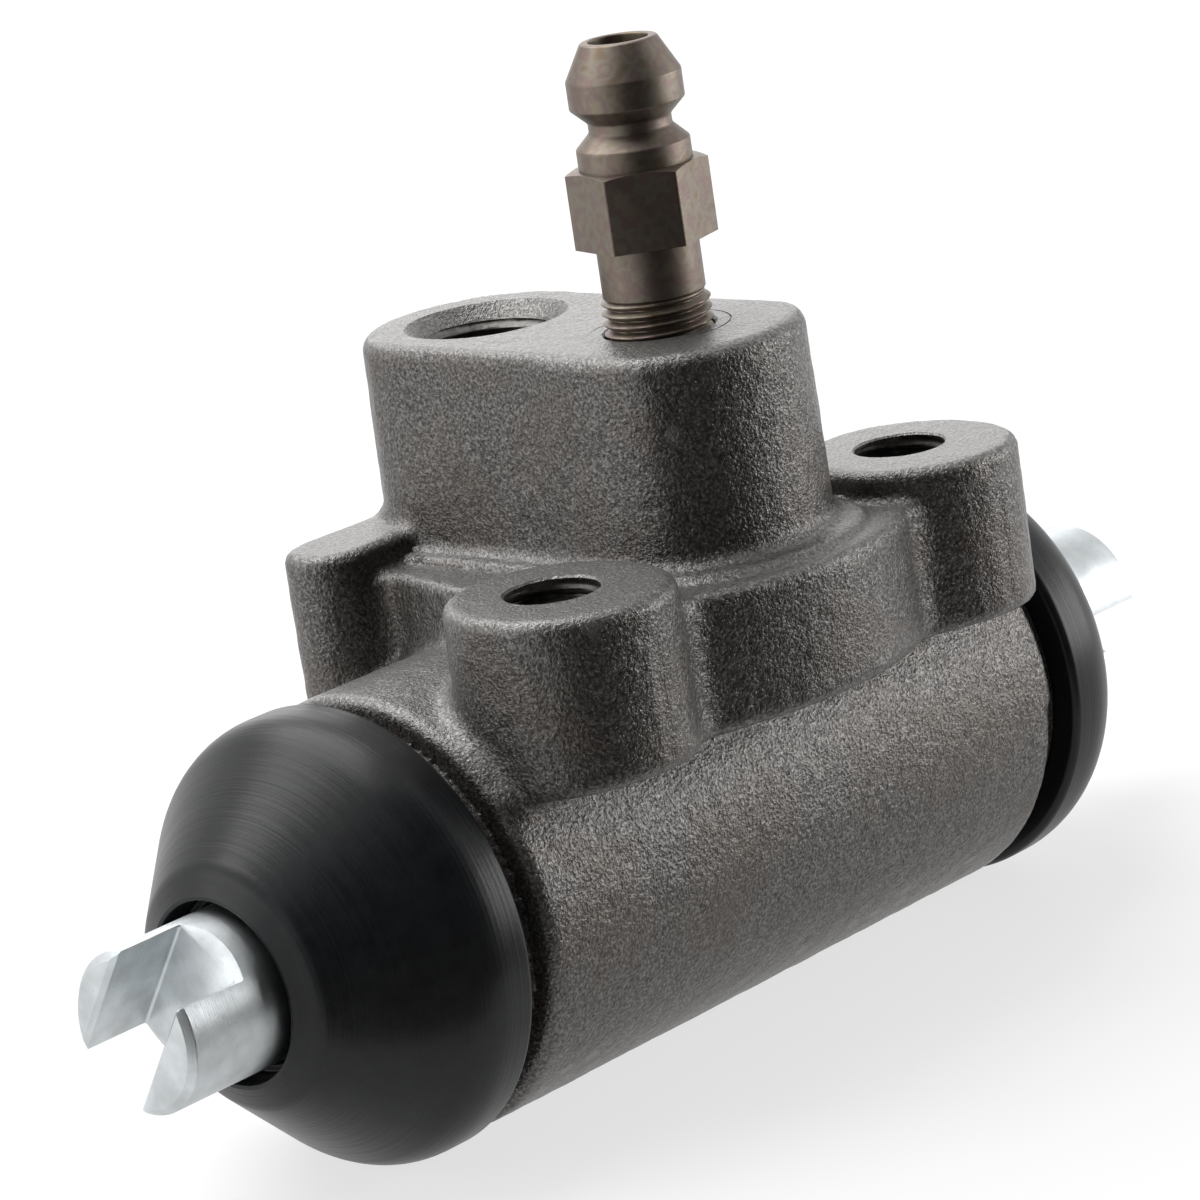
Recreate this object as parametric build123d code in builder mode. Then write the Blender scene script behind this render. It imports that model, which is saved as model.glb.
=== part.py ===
from build123d import *

import os
from math import cos, pi, radians, sqrt, tan

# Wheel cylinder of a drum brake: a cast body, two slotted pistons, dust boots and a bleeder screw.
# Millimetres. The origin lies on the mounting face, midway between the two bolt holes. +X runs along the
# bore, +Y from the bolt line towards the bore axis, and +Z out of the mounting face.

# Mounting face and bolt holes
bolt_spacing = 38.0
bolt_line_offset = 12.2  # from the bolt line to the bore axis
seat_height = 22.4  # from the bore axis up to the mounting face
bolt_hole_radius = 3.4  # core of an M8 thread
bolt_hole_depth = 11.0
drill_point_angle = 59.0  # half of the drill's point angle

# Barrel
bore_radius = 11.11
bore_chamfer = 0.6
barrel_radius = 16.3
barrel_half_length = 28.3
barrel_edge_radius = 0.8
spigot_radius = 14.4
spigot_length = 5.1
spigot_chamfer = 0.5
boot_groove_radius = 13.2
boot_groove_setback = 2.0  # from the barrel's end to the groove
boot_groove_width = 2.2

# Cast platform round the port boss
ledge_drop = 2.2  # the lobes lie this far under the mounting face
lobe_radius = 22.0
lobe_half_width = 13.5
core_radius = 15.2
pad_radius = 7.8
pad_stretch = 1.2
finger_offset = 14.6  # from the bore axis to the middle of a locating finger
finger_reach = 14.6
finger_radius = 3.5
underside_drop = 12.2  # from the mounting face to the platform's lower edge
underside_angle = 6.0
platform_edge_radius = 0.8
corner_radius = 2.0

# Port boss
boss_height = 13.7  # above the mounting face
boss_half_width = 9.25
boss_draft = 1.0
boss_edge_radius = 1.0
boss_base_radius = 1.1
bleeder_offset = 7.75  # from the bore axis towards the bolt line
bleeder_end_radius = 10.4
inlet_offset = 9.75  # from the bore axis away from the bolt line
inlet_end_radius = 9.4
pilot_margin = 2.2
pilot_rise = 0.6  # above the ledge

# Inlet port
inlet_mouth_radius = 6.1
inlet_mouth_depth = 1.2
inlet_thread_radius = 4.5  # core of an M10 x 1 thread
inlet_thread_depth = 9.7
inlet_pocket_radius = 4.2  # round the flare seat
flare_seat_drop = 0.6  # from the thread's end down to the seat's tip
flare_seat_radius = 2.8
flare_seat_tip_radius = 1.7
flare_seat_height = 1.8
passage_radius = 1.3

# Bleeder screw, heights above the boss
screw_radius = 3.98
screw_clearance = 0.05
screw_thread_depth = 12.0
screw_seat_angle = 45.0
screw_seat_gap = 0.1
screw_tip_radius = 1.6
cross_hole_radius = 0.9
cross_hole_rise = 1.5  # above the foot of the thread
screw_thread_top = 2.6
shank_radius = 3.75
hex_across_flats = 9.0
hex_bottom = 6.4
hex_top = 12.0
hex_chamfer_angle = 30.0
hex_turn = 15.0
collar_radius = 4.1
collar_top = 13.5
neck_radius = 3.0
neck_bottom = 14.6
neck_top = 15.3
barb_radius = 4.15
barb_bottom = 16.4
barb_top = 18.4
nipple_tip_radius = 2.75
nipple_top = 21.0
nipple_mouth_radius = 2.15
nipple_mouth_depth = 5.0
nipple_bore_radius = 1.1

# Pistons
piston_clearance = 0.04
piston_setback = 15.4  # from the spigot's end to the inner face
piston_land_length = 11.4
piston_edge_chamfer = 0.5
piston_waist_radius = 10.5
piston_waist_length = 4.4
nose_radius = 5.9
nose_reach = 8.35  # past the boot's mouth
nose_chamfer = 0.45
nose_root_radius = 1.0
slot_width = 6.0
slot_offset = 0.45
slot_depth = 5.8
slot_tilt = 34.5  # the slot's turn about the bore axis
right_piston_turn = 90.0  # how much further the right piston is turned

# Cup seals, expanders and return spring
cup_clearance = 0.06
cup_length = 6.2
cup_base = 2.4
cup_lip = 1.1
cup_root = 2.0  # the wall where it meets the base
cup_heel_chamfer = 0.6
expander_sheet = 0.8
expander_clearance = 0.15
expander_gap = 0.1
expander_depth = 2.9
expander_hub_radius = 5.0
expander_hub_length = 2.6
spring_wire_radius = 0.6
spring_radius = 6.4
spring_turns = 6
spring_end_clearance = 0.1

# Dust boots
boot_radius = 16.6
boot_band_length = 4.3
boot_cone_length = 8.6
boot_ridge_radius = 8.85
boot_rim_length = 0.95
boot_mouth_radius = 7.0
boot_mouth_edge = 0.3  # left between the mouth's outline and the recess
boot_recess_depth = 2.6
boot_lip_width = 1.3
boot_lip_clearance = 0.1
boot_wall = 1.8
boot_bead_clearance = 0.15
boot_shoulder_radius = 5.0
boot_band_edge_radius = 0.6

# Places along the bore, measured from the middle of the barrel
spigot_end = barrel_half_length + spigot_length
groove_start = barrel_half_length + boot_groove_setback
groove_end = groove_start + boot_groove_width
boot_corner = groove_start + boot_band_length
boot_ridge = boot_corner + boot_cone_length
boot_mouth_end = boot_ridge + boot_rim_length
nose_end = boot_mouth_end + nose_reach
piston_inner_face = spigot_end - piston_setback

# Places across and up
overshoot = 2.0  # cutting shapes run past the surfaces they cut
bore_y = bolt_line_offset
bore_z = -seat_height
bore_centre = Vector(0, bore_y, bore_z)
bore_axis = Axis(bore_centre, (1, 0, 0))
ledge_z = -ledge_drop
pilot_z = ledge_z + pilot_rise
inlet_y = bore_y + inlet_offset
bleeder_y = bore_y - bleeder_offset
bleeder_axis = Axis((0, bleeder_y, 0), (0, 0, 1))
screw_seat_height = screw_radius + screw_clearance - passage_radius
bolt_places = [(-bolt_spacing / 2, 0), (bolt_spacing / 2, 0)]
pad_places = [(x, y - pad_stretch / 2) for x, y in bolt_places]
finger_place = (0, bore_y + finger_offset)

# Cross-section of the bore (across, up), half-sections (along, out) for both ends and for the left end,
# and half-section of the bleeder screw (out, up from the boss)
bore_plane = Plane(origin=bore_centre, x_dir=(0, 1, 0), z_dir=(1, 0, 0))
half_section = Plane(origin=bore_centre, x_dir=(1, 0, 0), z_dir=(0, -1, 0))
left_section = Plane(origin=bore_centre, x_dir=(-1, 0, 0), z_dir=(0, 1, 0))
screw_section = Plane(origin=(0, bleeder_y, boss_height), x_dir=(1, 0, 0), z_dir=(0, -1, 0))

os.makedirs("parts", exist_ok=True)

# Port boss: a flat-sided oblong whose bleeder end is rounder than its sides are wide
with BuildPart() as port_boss:
    with BuildSketch(Plane.XY.offset(boss_height)) as boss_plan:
        with Locations((0, inlet_y)):
            Circle(inlet_end_radius)
        with Locations((0, bleeder_y)):
            Circle(bleeder_end_radius)
        with Locations((0, (inlet_y + bleeder_y) / 2)):
            Rectangle(2 * boss_half_width, inlet_offset + bleeder_offset)
            Rectangle(2 * boss_half_width, 2 * (inlet_y + bleeder_end_radius), mode=Mode.INTERSECT)
    extrude(amount=bore_z - boss_height, taper=-boss_draft)
    fillet(port_boss.faces().sort_by(Axis.Z)[-1].edges(), boss_edge_radius)

# Pilot: a low step round the boss that enters the backing plate's opening
with BuildPart() as pilot:
    with BuildSketch(Plane.XY.offset(pilot_z)) as pilot_plan:
        add(boss_plan.sketch_local)
        offset(amount=pilot_margin)
    extrude(amount=bore_z - pilot_z)
    add(port_boss.part)
    boss_foot = pilot.edges().filter_by(Edge.is_interior).filter_by_position(Axis.Z, pilot_z, pilot_z)
    fillet(boss_foot, boss_base_radius)

# Platform: two lobes, a core, the bolt pads and the locating fingers, with soft inner corners
with BuildPart() as platform:
    with BuildSketch(Plane.XY.offset(ledge_z)) as platform_plan:
        with Locations((0, bore_y)):
            Circle(lobe_radius)
            Rectangle(2 * lobe_half_width, 2 * lobe_radius, mode=Mode.INTERSECT)
            Circle(core_radius)
        with Locations(*pad_places):
            SlotCenterToCenter(pad_stretch, 2 * pad_radius, rotation=90)
        with Locations(finger_place):
            SlotCenterToCenter(2 * finger_reach, 2 * finger_radius)
        offset(amount=corner_radius, kind=Kind.ARC)
        offset(amount=-corner_radius, kind=Kind.ARC)
    extrude(amount=bore_z - ledge_z)
    fillet(platform.faces().sort_by(Axis.Z)[-1].edges(), platform_edge_radius)

# Bolt pads and locating fingers rise to the mounting face
with BuildPart() as seats:
    with BuildSketch(Plane.XY) as seat_plan:
        with Locations(*pad_places):
            SlotCenterToCenter(pad_stretch, 2 * pad_radius, rotation=90)
        with Locations(finger_place):
            SlotCenterToCenter(2 * finger_reach, 2 * finger_radius)
    extrude(amount=bore_z)
    fillet(seats.faces().filter_by(Plane.XY).group_by(Axis.Z)[-1].edges(), platform_edge_radius)

# Barrel with a spigot and a boot groove at each end, turned about the bore axis
with BuildPart() as barrel:
    with BuildSketch(half_section) as barrel_profile:
        with BuildLine():
            Polyline(
                (0, 0),
                (spigot_end, 0),
                (spigot_end, spigot_radius - spigot_chamfer),
                (spigot_end - spigot_chamfer, spigot_radius),
                (groove_end, spigot_radius),
                (groove_end, boot_groove_radius),
                (groove_start, boot_groove_radius),
                (groove_start, spigot_radius),
                (barrel_half_length, spigot_radius),
                (barrel_half_length, barrel_radius),
                (0, barrel_radius),
                close=True,
            )
        make_face()
        fillet(barrel_profile.vertices().group_by(Axis.Z)[-1].sort_by(Axis.X)[-1], barrel_edge_radius)
        mirror(about=Plane.YZ)
    revolve(axis=bore_axis)

# The casting: all of the above, trimmed underneath, then machined
with BuildPart() as cylinder_body:
    add(pilot.part)
    add(platform.part)
    add(seats.part)
    with BuildSketch(bore_plane) as below_underside:
        edge_height = seat_height - underside_drop
        outer_edge = lobe_radius + overshoot
        slope = tan(radians(underside_angle))
        with BuildLine():
            Polyline(
                (-outer_edge, edge_height + slope * overshoot),
                (0, edge_height - slope * lobe_radius),
                (0, -overshoot),
                (-outer_edge, -overshoot),
                close=True,
            )
        make_face()
        mirror(about=Plane.YZ)
    extrude(amount=bolt_spacing, both=True, mode=Mode.SUBTRACT)
    add(barrel.part)

    # Bore with a chamfered mouth at each end
    with BuildSketch(half_section):
        with BuildLine():
            Polyline(
                (0, 0),
                (spigot_end, 0),
                (spigot_end, bore_radius + bore_chamfer),
                (spigot_end - bore_chamfer, bore_radius),
                (0, bore_radius),
                close=True,
            )
        make_face()
        mirror(about=Plane.YZ)
    revolve(axis=bore_axis, mode=Mode.SUBTRACT)

    # Tapped bolt holes
    with Locations(*bolt_places):
        Hole(bolt_hole_radius, depth=bolt_hole_depth)
    with Locations(*[(x, y, -bolt_hole_depth) for x, y in bolt_places]):
        Cone(
            bottom_radius=0,
            top_radius=bolt_hole_radius,
            height=bolt_hole_radius / tan(radians(drill_point_angle)),
            align=(Align.CENTER, Align.CENTER, Align.MAX),
            mode=Mode.SUBTRACT,
        )

    # Inlet port: counterbore, thread core, a pocket round the flare seat, and the passage
    thread_end = inlet_mouth_depth + inlet_thread_depth
    inlet_depth = thread_end + flare_seat_drop + flare_seat_height
    with Locations((0, inlet_y, boss_height)):
        CounterBoreHole(inlet_thread_radius, inlet_mouth_radius, inlet_mouth_depth, depth=thread_end)
        Hole(inlet_pocket_radius, depth=inlet_depth)
    with Locations((0, inlet_y, boss_height - inlet_depth)):
        Cone(
            bottom_radius=flare_seat_radius,
            top_radius=flare_seat_tip_radius,
            height=flare_seat_height,
            align=(Align.CENTER, Align.CENTER, Align.MIN),
        )
        Hole(passage_radius, depth=boss_height - inlet_depth - bore_z)

    # Bleeder port: thread bore, conical seat and passage
    with Locations((0, bleeder_y, boss_height)):
        Hole(screw_radius + screw_clearance, depth=screw_thread_depth)
    with Locations((0, bleeder_y, boss_height - screw_thread_depth)):
        Cone(
            bottom_radius=passage_radius,
            top_radius=screw_radius + screw_clearance,
            height=screw_seat_height * tan(radians(screw_seat_angle)),
            align=(Align.CENTER, Align.CENTER, Align.MAX),
            mode=Mode.SUBTRACT,
        )
        Hole(passage_radius, depth=boss_height - screw_thread_depth - bore_z)
cylinder_body.part.label = "cylinder_body"
export_step(cylinder_body.part, "parts/cylinder_body.step")

# Piston: a grooved land in the bore and a slotted nose that the brake shoe's web enters
with BuildPart() as piston_left:
    with BuildSketch(left_section) as piston_profile:
        piston_radius = bore_radius - piston_clearance
        land_end = piston_inner_face + piston_land_length
        waist_start = piston_inner_face + (piston_land_length - piston_waist_length) / 2
        waist_end = waist_start + piston_waist_length
        waist_depth = piston_radius - piston_waist_radius
        with BuildLine():
            Polyline(
                (piston_inner_face, 0),
                (piston_inner_face, piston_radius - piston_edge_chamfer),
                (piston_inner_face + piston_edge_chamfer, piston_radius),
                (waist_start, piston_radius),
                (waist_start + waist_depth, piston_waist_radius),
                (waist_end - waist_depth, piston_waist_radius),
                (waist_end, piston_radius),
                (land_end - piston_edge_chamfer, piston_radius),
                (land_end, piston_radius - piston_edge_chamfer),
                (land_end, nose_radius),
                (nose_end - nose_chamfer, nose_radius),
                (nose_end, nose_radius - nose_chamfer),
                (nose_end, 0),
                close=True,
            )
        make_face()
        nose_root = bore_centre + (-land_end, 0, nose_radius)
        fillet(piston_profile.vertices().sort_by_distance(nose_root)[0], nose_root_radius)
    revolve(axis=bore_axis)
    slot_across = Vector(0, 1, 0).rotate(Axis.X, slot_tilt)
    nose_face = Plane(origin=bore_centre - (nose_end, 0, 0), x_dir=slot_across, z_dir=(-1, 0, 0))
    with BuildSketch(nose_face):
        with Locations((slot_offset, 0)):
            Rectangle(slot_width, 2 * (nose_radius + overshoot))
    extrude(amount=-slot_depth, mode=Mode.SUBTRACT)
piston_left.part.label = "piston_left"
export_step(piston_left.part, "parts/piston_left.step")

# Cup seal: its lips open towards the fluid in the middle of the bore
with BuildPart() as piston_cup_left:
    with BuildSketch(left_section):
        cup_radius = bore_radius - cup_clearance
        cup_mouth = piston_inner_face - cup_length
        cup_floor = piston_inner_face - cup_base
        with BuildLine():
            Polyline(
                (piston_inner_face, 0),
                (piston_inner_face, cup_radius - cup_heel_chamfer),
                (piston_inner_face - cup_heel_chamfer, cup_radius),
                (cup_mouth, cup_radius),
                (cup_mouth, cup_radius - cup_lip),
                (cup_floor, cup_radius - cup_root),
                (cup_floor, 0),
                close=True,
            )
        make_face()
    revolve(axis=bore_axis)
piston_cup_left.part.label = "piston_cup_left"
export_step(piston_cup_left.part, "parts/piston_cup_left.step")

# Cup expander: a pressed cup whose rim follows the seal's lips and whose hub centres the spring
with BuildPart() as cup_expander_left:
    with BuildSketch(left_section):
        expander_back = cup_floor - expander_gap
        expander_front = expander_back - expander_sheet
        expander_mouth = expander_back - expander_depth
        hub_end = expander_front - expander_hub_length
        lip_slope = (cup_root - cup_lip) / (cup_floor - cup_mouth)
        back_radius = cup_radius - cup_root - expander_clearance
        mouth_radius = back_radius + lip_slope * (cup_floor - expander_mouth)
        with BuildLine():
            Polyline(
                (expander_back, expander_hub_radius - expander_sheet),
                (expander_back, back_radius),
                (expander_mouth, mouth_radius),
                (expander_mouth, mouth_radius - expander_sheet),
                (expander_front, back_radius - expander_sheet),
                (expander_front, expander_hub_radius),
                (hub_end, expander_hub_radius),
                (hub_end, 0),
                (hub_end + expander_sheet, 0),
                (hub_end + expander_sheet, expander_hub_radius - expander_sheet),
                close=True,
            )
        make_face()
    revolve(axis=bore_axis)
cup_expander_left.part.label = "cup_expander_left"
export_step(cup_expander_left.part, "parts/cup_expander_left.step")

# Return spring between the two expanders
with BuildPart() as return_spring:
    spring_reach = expander_front - spring_end_clearance - spring_wire_radius
    with BuildLine() as spring_line:
        Helix(
            pitch=2 * spring_reach / spring_turns,
            height=2 * spring_reach,
            radius=spring_radius,
            center=bore_centre - (spring_reach, 0, 0),
            direction=(1, 0, 0),
        )
    with BuildSketch(Plane(origin=spring_line.line @ 0, z_dir=spring_line.line % 0)):
        Circle(spring_wire_radius)
    sweep(path=spring_line.line, is_frenet=True)
return_spring.part.label = "return_spring"
export_step(return_spring.part, "parts/return_spring.step")

# Dust boot: a bead in the barrel's groove, a tapered wall and a lip round the nose inside its mouth
with BuildPart() as dust_boot_left:
    with BuildSketch(left_section) as boot_profile:
        bead_start = groove_start + boot_bead_clearance
        bead_end = groove_end - boot_bead_clearance
        bead_radius = boot_groove_radius + boot_bead_clearance
        lip_end = boot_mouth_end - boot_recess_depth
        lip_start = lip_end - boot_lip_width
        boot_slope = (boot_radius - boot_ridge_radius) / (boot_ridge - boot_corner)
        wall_drop = boot_wall * sqrt(1 + boot_slope**2)
        inner_radius = boot_radius - boot_wall
        inner_corner = boot_corner - (wall_drop - boot_wall) / boot_slope
        inner_lip_radius = inner_radius - boot_slope * (lip_start - inner_corner)
        seal_radius = nose_radius + boot_lip_clearance
        recess_radius = boot_mouth_radius - boot_mouth_edge
        with BuildLine():
            Polyline(
                (bead_start, bead_radius),
                (bead_end, bead_radius),
                (bead_end, inner_radius),
                (inner_corner, inner_radius),
                (lip_start, inner_lip_radius),
                (lip_start, seal_radius),
                (lip_end, seal_radius),
                (lip_end, recess_radius),
                (boot_mouth_end, recess_radius),
                (boot_mouth_end, boot_mouth_radius),
                (boot_ridge, boot_ridge_radius),
                (boot_corner, boot_radius),
                (bead_start, boot_radius),
                close=True,
            )
        make_face()
        shoulder = bore_centre + (-boot_corner, 0, boot_radius)
        band_edge = bore_centre + (-bead_start, 0, boot_radius)
        fillet(boot_profile.vertices().sort_by_distance(shoulder)[0], boot_shoulder_radius)
        fillet(boot_profile.vertices().sort_by_distance(band_edge)[0], boot_band_edge_radius)
    revolve(axis=bore_axis)
dust_boot_left.part.label = "dust_boot_left"
export_step(dust_boot_left.part, "parts/dust_boot_left.step")

# The right end mirrors the left one, with its piston turned further
with BuildPart() as piston_right:
    mirror(piston_left.part.rotate(bore_axis, right_piston_turn), about=Plane.YZ)
piston_right.part.label = "piston_right"
export_step(piston_right.part, "parts/piston_right.step")

with BuildPart() as piston_cup_right:
    mirror(piston_cup_left.part, about=Plane.YZ)
piston_cup_right.part.label = "piston_cup_right"
export_step(piston_cup_right.part, "parts/piston_cup_right.step")

with BuildPart() as cup_expander_right:
    mirror(cup_expander_left.part, about=Plane.YZ)
cup_expander_right.part.label = "cup_expander_right"
export_step(cup_expander_right.part, "parts/cup_expander_right.step")

with BuildPart() as dust_boot_right:
    mirror(dust_boot_left.part, about=Plane.YZ)
dust_boot_right.part.label = "dust_boot_right"
export_step(dust_boot_right.part, "parts/dust_boot_right.step")

# Hexagon of the bleeder screw, its upper corners turned down
with BuildPart() as hexagon:
    with BuildSketch(Plane.XY.offset(boss_height + hex_bottom)):
        with Locations((0, bleeder_y)):
            RegularPolygon(hex_across_flats / 2, side_count=6, major_radius=False, rotation=hex_turn)
    extrude(amount=hex_top - hex_bottom)
    with BuildSketch(screw_section):
        flat_radius = hex_across_flats / 2
        blank_radius = flat_radius / cos(pi / 6) + overshoot
        blank_drop = (blank_radius - flat_radius) * tan(radians(hex_chamfer_angle))
        with BuildLine():
            Polyline(
                (0, hex_bottom),
                (blank_radius, hex_bottom),
                (blank_radius, hex_top - blank_drop),
                (flat_radius, hex_top),
                (0, hex_top),
                close=True,
            )
        make_face()
    revolve(axis=bleeder_axis, mode=Mode.INTERSECT)

# Bleeder screw: seat cone, thread, hexagon and hose nipple, drilled through to a cross hole
with BuildPart() as bleeder_screw:
    with BuildSketch(screw_section):
        cone_start = -screw_thread_depth + screw_seat_gap
        cone_length = (screw_radius - screw_tip_radius) * tan(radians(screw_seat_angle))
        with BuildLine():
            Polyline(
                (0, cone_start - cone_length),
                (screw_tip_radius, cone_start - cone_length),
                (screw_radius, cone_start),
                (screw_radius, screw_thread_top),
                (shank_radius, screw_thread_top + screw_radius - shank_radius),
                (shank_radius, hex_bottom),
                (collar_radius, hex_bottom),
                (collar_radius, collar_top),
                (neck_radius, neck_bottom),
                (neck_radius, neck_top),
                (barb_radius, barb_bottom),
                (barb_radius, barb_top),
                (nipple_tip_radius, nipple_top),
                (0, nipple_top),
                close=True,
            )
        make_face()
    revolve(axis=bleeder_axis)
    add(hexagon.part)
    with Locations((0, bleeder_y, boss_height + nipple_top)):
        CounterBoreHole(
            radius=nipple_bore_radius,
            counter_bore_radius=nipple_mouth_radius,
            counter_bore_depth=nipple_mouth_depth,
            depth=nipple_top - cone_start - cross_hole_rise,
        )
    with BuildSketch(Plane.YZ):
        with Locations((bleeder_y, boss_height + cone_start + cross_hole_rise)):
            Circle(cross_hole_radius)
    extrude(amount=screw_radius + overshoot, both=True, mode=Mode.SUBTRACT)
bleeder_screw.part.label = "bleeder_screw"
export_step(bleeder_screw.part, "parts/bleeder_screw.step")
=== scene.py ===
from math import cos, pi, radians, sin, sqrt, tan

import bmesh
import bpy
import numpy as np
from mathutils import Matrix, Vector, noise


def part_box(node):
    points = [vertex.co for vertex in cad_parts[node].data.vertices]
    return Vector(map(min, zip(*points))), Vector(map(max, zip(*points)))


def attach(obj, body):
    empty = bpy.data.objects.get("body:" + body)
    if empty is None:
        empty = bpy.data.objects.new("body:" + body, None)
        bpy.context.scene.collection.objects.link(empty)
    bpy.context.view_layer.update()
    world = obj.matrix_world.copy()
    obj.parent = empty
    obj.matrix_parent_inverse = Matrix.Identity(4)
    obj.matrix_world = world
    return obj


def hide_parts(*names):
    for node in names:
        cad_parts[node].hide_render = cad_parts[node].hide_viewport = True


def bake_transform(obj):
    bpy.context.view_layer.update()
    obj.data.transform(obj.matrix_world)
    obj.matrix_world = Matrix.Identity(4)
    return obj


# A wheel cylinder, dressed for the render. Sizes are in millimetres and every mesh is made in metres.
MM = 0.001

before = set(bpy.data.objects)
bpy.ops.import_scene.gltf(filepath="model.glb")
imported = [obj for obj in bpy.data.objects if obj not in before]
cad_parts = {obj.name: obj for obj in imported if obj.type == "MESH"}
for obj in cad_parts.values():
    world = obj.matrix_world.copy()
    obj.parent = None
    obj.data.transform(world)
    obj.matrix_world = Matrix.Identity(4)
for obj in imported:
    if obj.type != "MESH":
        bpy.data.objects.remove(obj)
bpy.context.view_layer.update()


def middle(node):
    """Centre of a node's box, in millimetres."""
    low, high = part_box(node)
    return [(a + b) / 2 / MM for a, b in zip(low, high)]


# Places that the frame gives: the bore axis, the bleeder axis and the ends of the pieces
bore_y, bore_z = middle("piston_left")[1:]
bleeder_y = middle("bleeder_screw")[1]
body_low, body_high = (np.array(corner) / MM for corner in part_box("cylinder_body"))
boot_low, boot_high = (np.array(corner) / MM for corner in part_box("dust_boot_right"))
piston_low, piston_high = (np.array(corner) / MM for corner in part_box("piston_right"))
spring_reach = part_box("return_spring")[1][0] / MM
boss_height = body_high[2]
spigot_end = body_high[0]
lobe_radius = body_high[1] - bore_y
boot_start, boot_mouth_end = boot_low[0], boot_high[0]
boot_radius = boot_high[1] - bore_y
piston_start, nose_end = piston_low[0], piston_high[0]
floor_level = boot_low[2]

# Casting
barrel_radius = 16.3
barrel_half_length = 28.3
end_step = 0.5  # the far end's lower half was cast this much shorter
spigot_radius = 14.4
boot_groove = (30.3, 32.5, 13.2)  # start, end, radius
bore_radius = 11.11
bore_chamfer = 0.6
bolt_x = 19.0
pad_y = -0.6
pad_half_stretch = 0.6
pad_radius = 7.8
finger_y = 26.8
finger_reach = 14.6
finger_radius = 3.5
lobe_half_width = 13.5
core_radius = 15.2
ledge_z = -2.2
pilot_z = -1.6
pilot_margin = 2.2
underside_rise = 7.9  # above the bore axis, at the middle
underside_angle = 6.0
inlet_y = 21.95
boss_half_width = 9.25
inlet_end_radius = 9.4
bleeder_end_radius = 10.4
boss_draft = 1.0

# Roundings of the casting
boss_edge = 1.15
boss_crease = 0.9
foot_fillet = 1.3
ledge_edge = 0.9
pad_edge = 0.9
plan_corner = 2.2
under_edge = 0.8
under_fillet = 1.9
barrel_edge = 0.9
pilot_edge = 0.5
pilot_fillet = 0.4
spigot_edge = 0.5
seat_fillets = (0.05, 0.8)  # smallest and largest, round the pads and fingers
end_step_run = 0.6

# Holes
over = 1.0  # how far a cutter reaches past what it cuts
bolt_core, bolt_crest, bolt_pitch, bolt_depth = 3.4, 4.0, 1.25, 11.0
bolt_mouth_drop = 0.15
bolt_thread_start = 0.6
bolt_thread_foot = 0.3
bolt_runout = 0.8
inlet_core, inlet_crest, inlet_pitch = 4.5, 5.0, 1.0
inlet_mouth_radius, inlet_mouth_depth = 6.1, 1.2
inlet_mouth_flare = 1.3
inlet_lip_drop, inlet_lip_round = 0.1, 0.6
inlet_foot_rise, inlet_foot_round = 0.1, 0.3
inlet_thread_chamfer = 0.4
inlet_cast_below = 0.02  # how far below its foot the mouth still shows the cast finish
inlet_thread_depth = 9.7
inlet_pocket_radius = 4.2
seat_drop, seat_height, seat_radius, seat_tip_radius = 0.6, 1.8, 2.8, 1.7
passage_radius = 1.3
screw_hole_radius = 4.03
screw_hole_depth = 12.0
screw_hole_chamfer = 0.2
drill_slope = 0.6
drill_play = 0.02
scribe_radius, scribe_width, scribe_depth, scribe_tilt = 5.1, 0.12, 0.05, 0.9

# Mesh of the casting
net_step = 0.45
net_margin = 1.0
net_pulls = 3
normal_step = 0.05
swell = 0.045  # uneven sand-cast skin
swell_coarse, swell_fine, swell_fine_share = 0.55, 1.3, 0.6  # its two noises
skin_depth = 0.25  # what lies deeper than this in the raw casting was cut by a tool


def metres(points):
    return [(x * MM, y * MM, z * MM) for x, y, z in points]


def add_object(name, mesh):
    piece = bpy.data.objects.new(name, mesh)
    bpy.context.collection.objects.link(piece)
    return piece


def mesh_piece(name, points, faces):
    """An object from points in millimetres, with its normals outwards."""
    mesh = bpy.data.meshes.new(name)
    mesh.from_pydata(metres(points), [], faces)
    shell = bmesh.new()
    shell.from_mesh(mesh)
    bmesh.ops.recalc_face_normals(shell, faces=shell.faces)
    shell.to_mesh(mesh)
    shell.free()
    return add_object(name, mesh)


def rounded(corners, steps=6):
    """A profile through corners (along, out, radius), each corner rounded by its radius."""
    count = len(corners)
    points = []
    for i, (along, out, radius) in enumerate(corners):
        here = Vector((along, out))
        before = Vector(corners[i - 1][:2]) - here
        after = Vector(corners[(i + 1) % count][:2]) - here
        if radius == 0:
            points.append(tuple(here))
            continue
        before.normalize()
        after.normalize()
        half = before.angle(after) / 2
        start = here + before * (radius / tan(half))
        end = here + after * (radius / tan(half))
        centre = here + (before + after).normalized() * (radius / sin(half))
        for k in range(steps + 1):
            chord = start.lerp(end, k / steps) - centre
            points.append(tuple(centre + chord.normalized() * radius))
    return points


def turned(name, profile, place, segments=128):
    """A solid turned about local Z from a closed profile of (along, out), put in its place."""
    rings, points = [], []
    for along, out in profile:
        if out < 1e-6:
            rings.append([len(points)] * segments)
            points.append(place @ Vector((0, 0, along)))
            continue
        rings.append(list(range(len(points), len(points) + segments)))
        for k in range(segments):
            turn = 2 * pi * k / segments
            points.append(place @ Vector((out * cos(turn), out * sin(turn), along)))
    faces = []
    for low, high in zip(rings, rings[1:] + rings[:1]):
        for k in range(segments):
            m = (k + 1) % segments
            corners = list(dict.fromkeys((low[k], low[m], high[m], high[k])))
            if len(corners) > 2:
                faces.append(corners)
    return mesh_piece(name, points, faces)


tooth_top, tooth_slope = 1.12, 2.5  # form of a thread's tooth, in shares of its height and pitch


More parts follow.
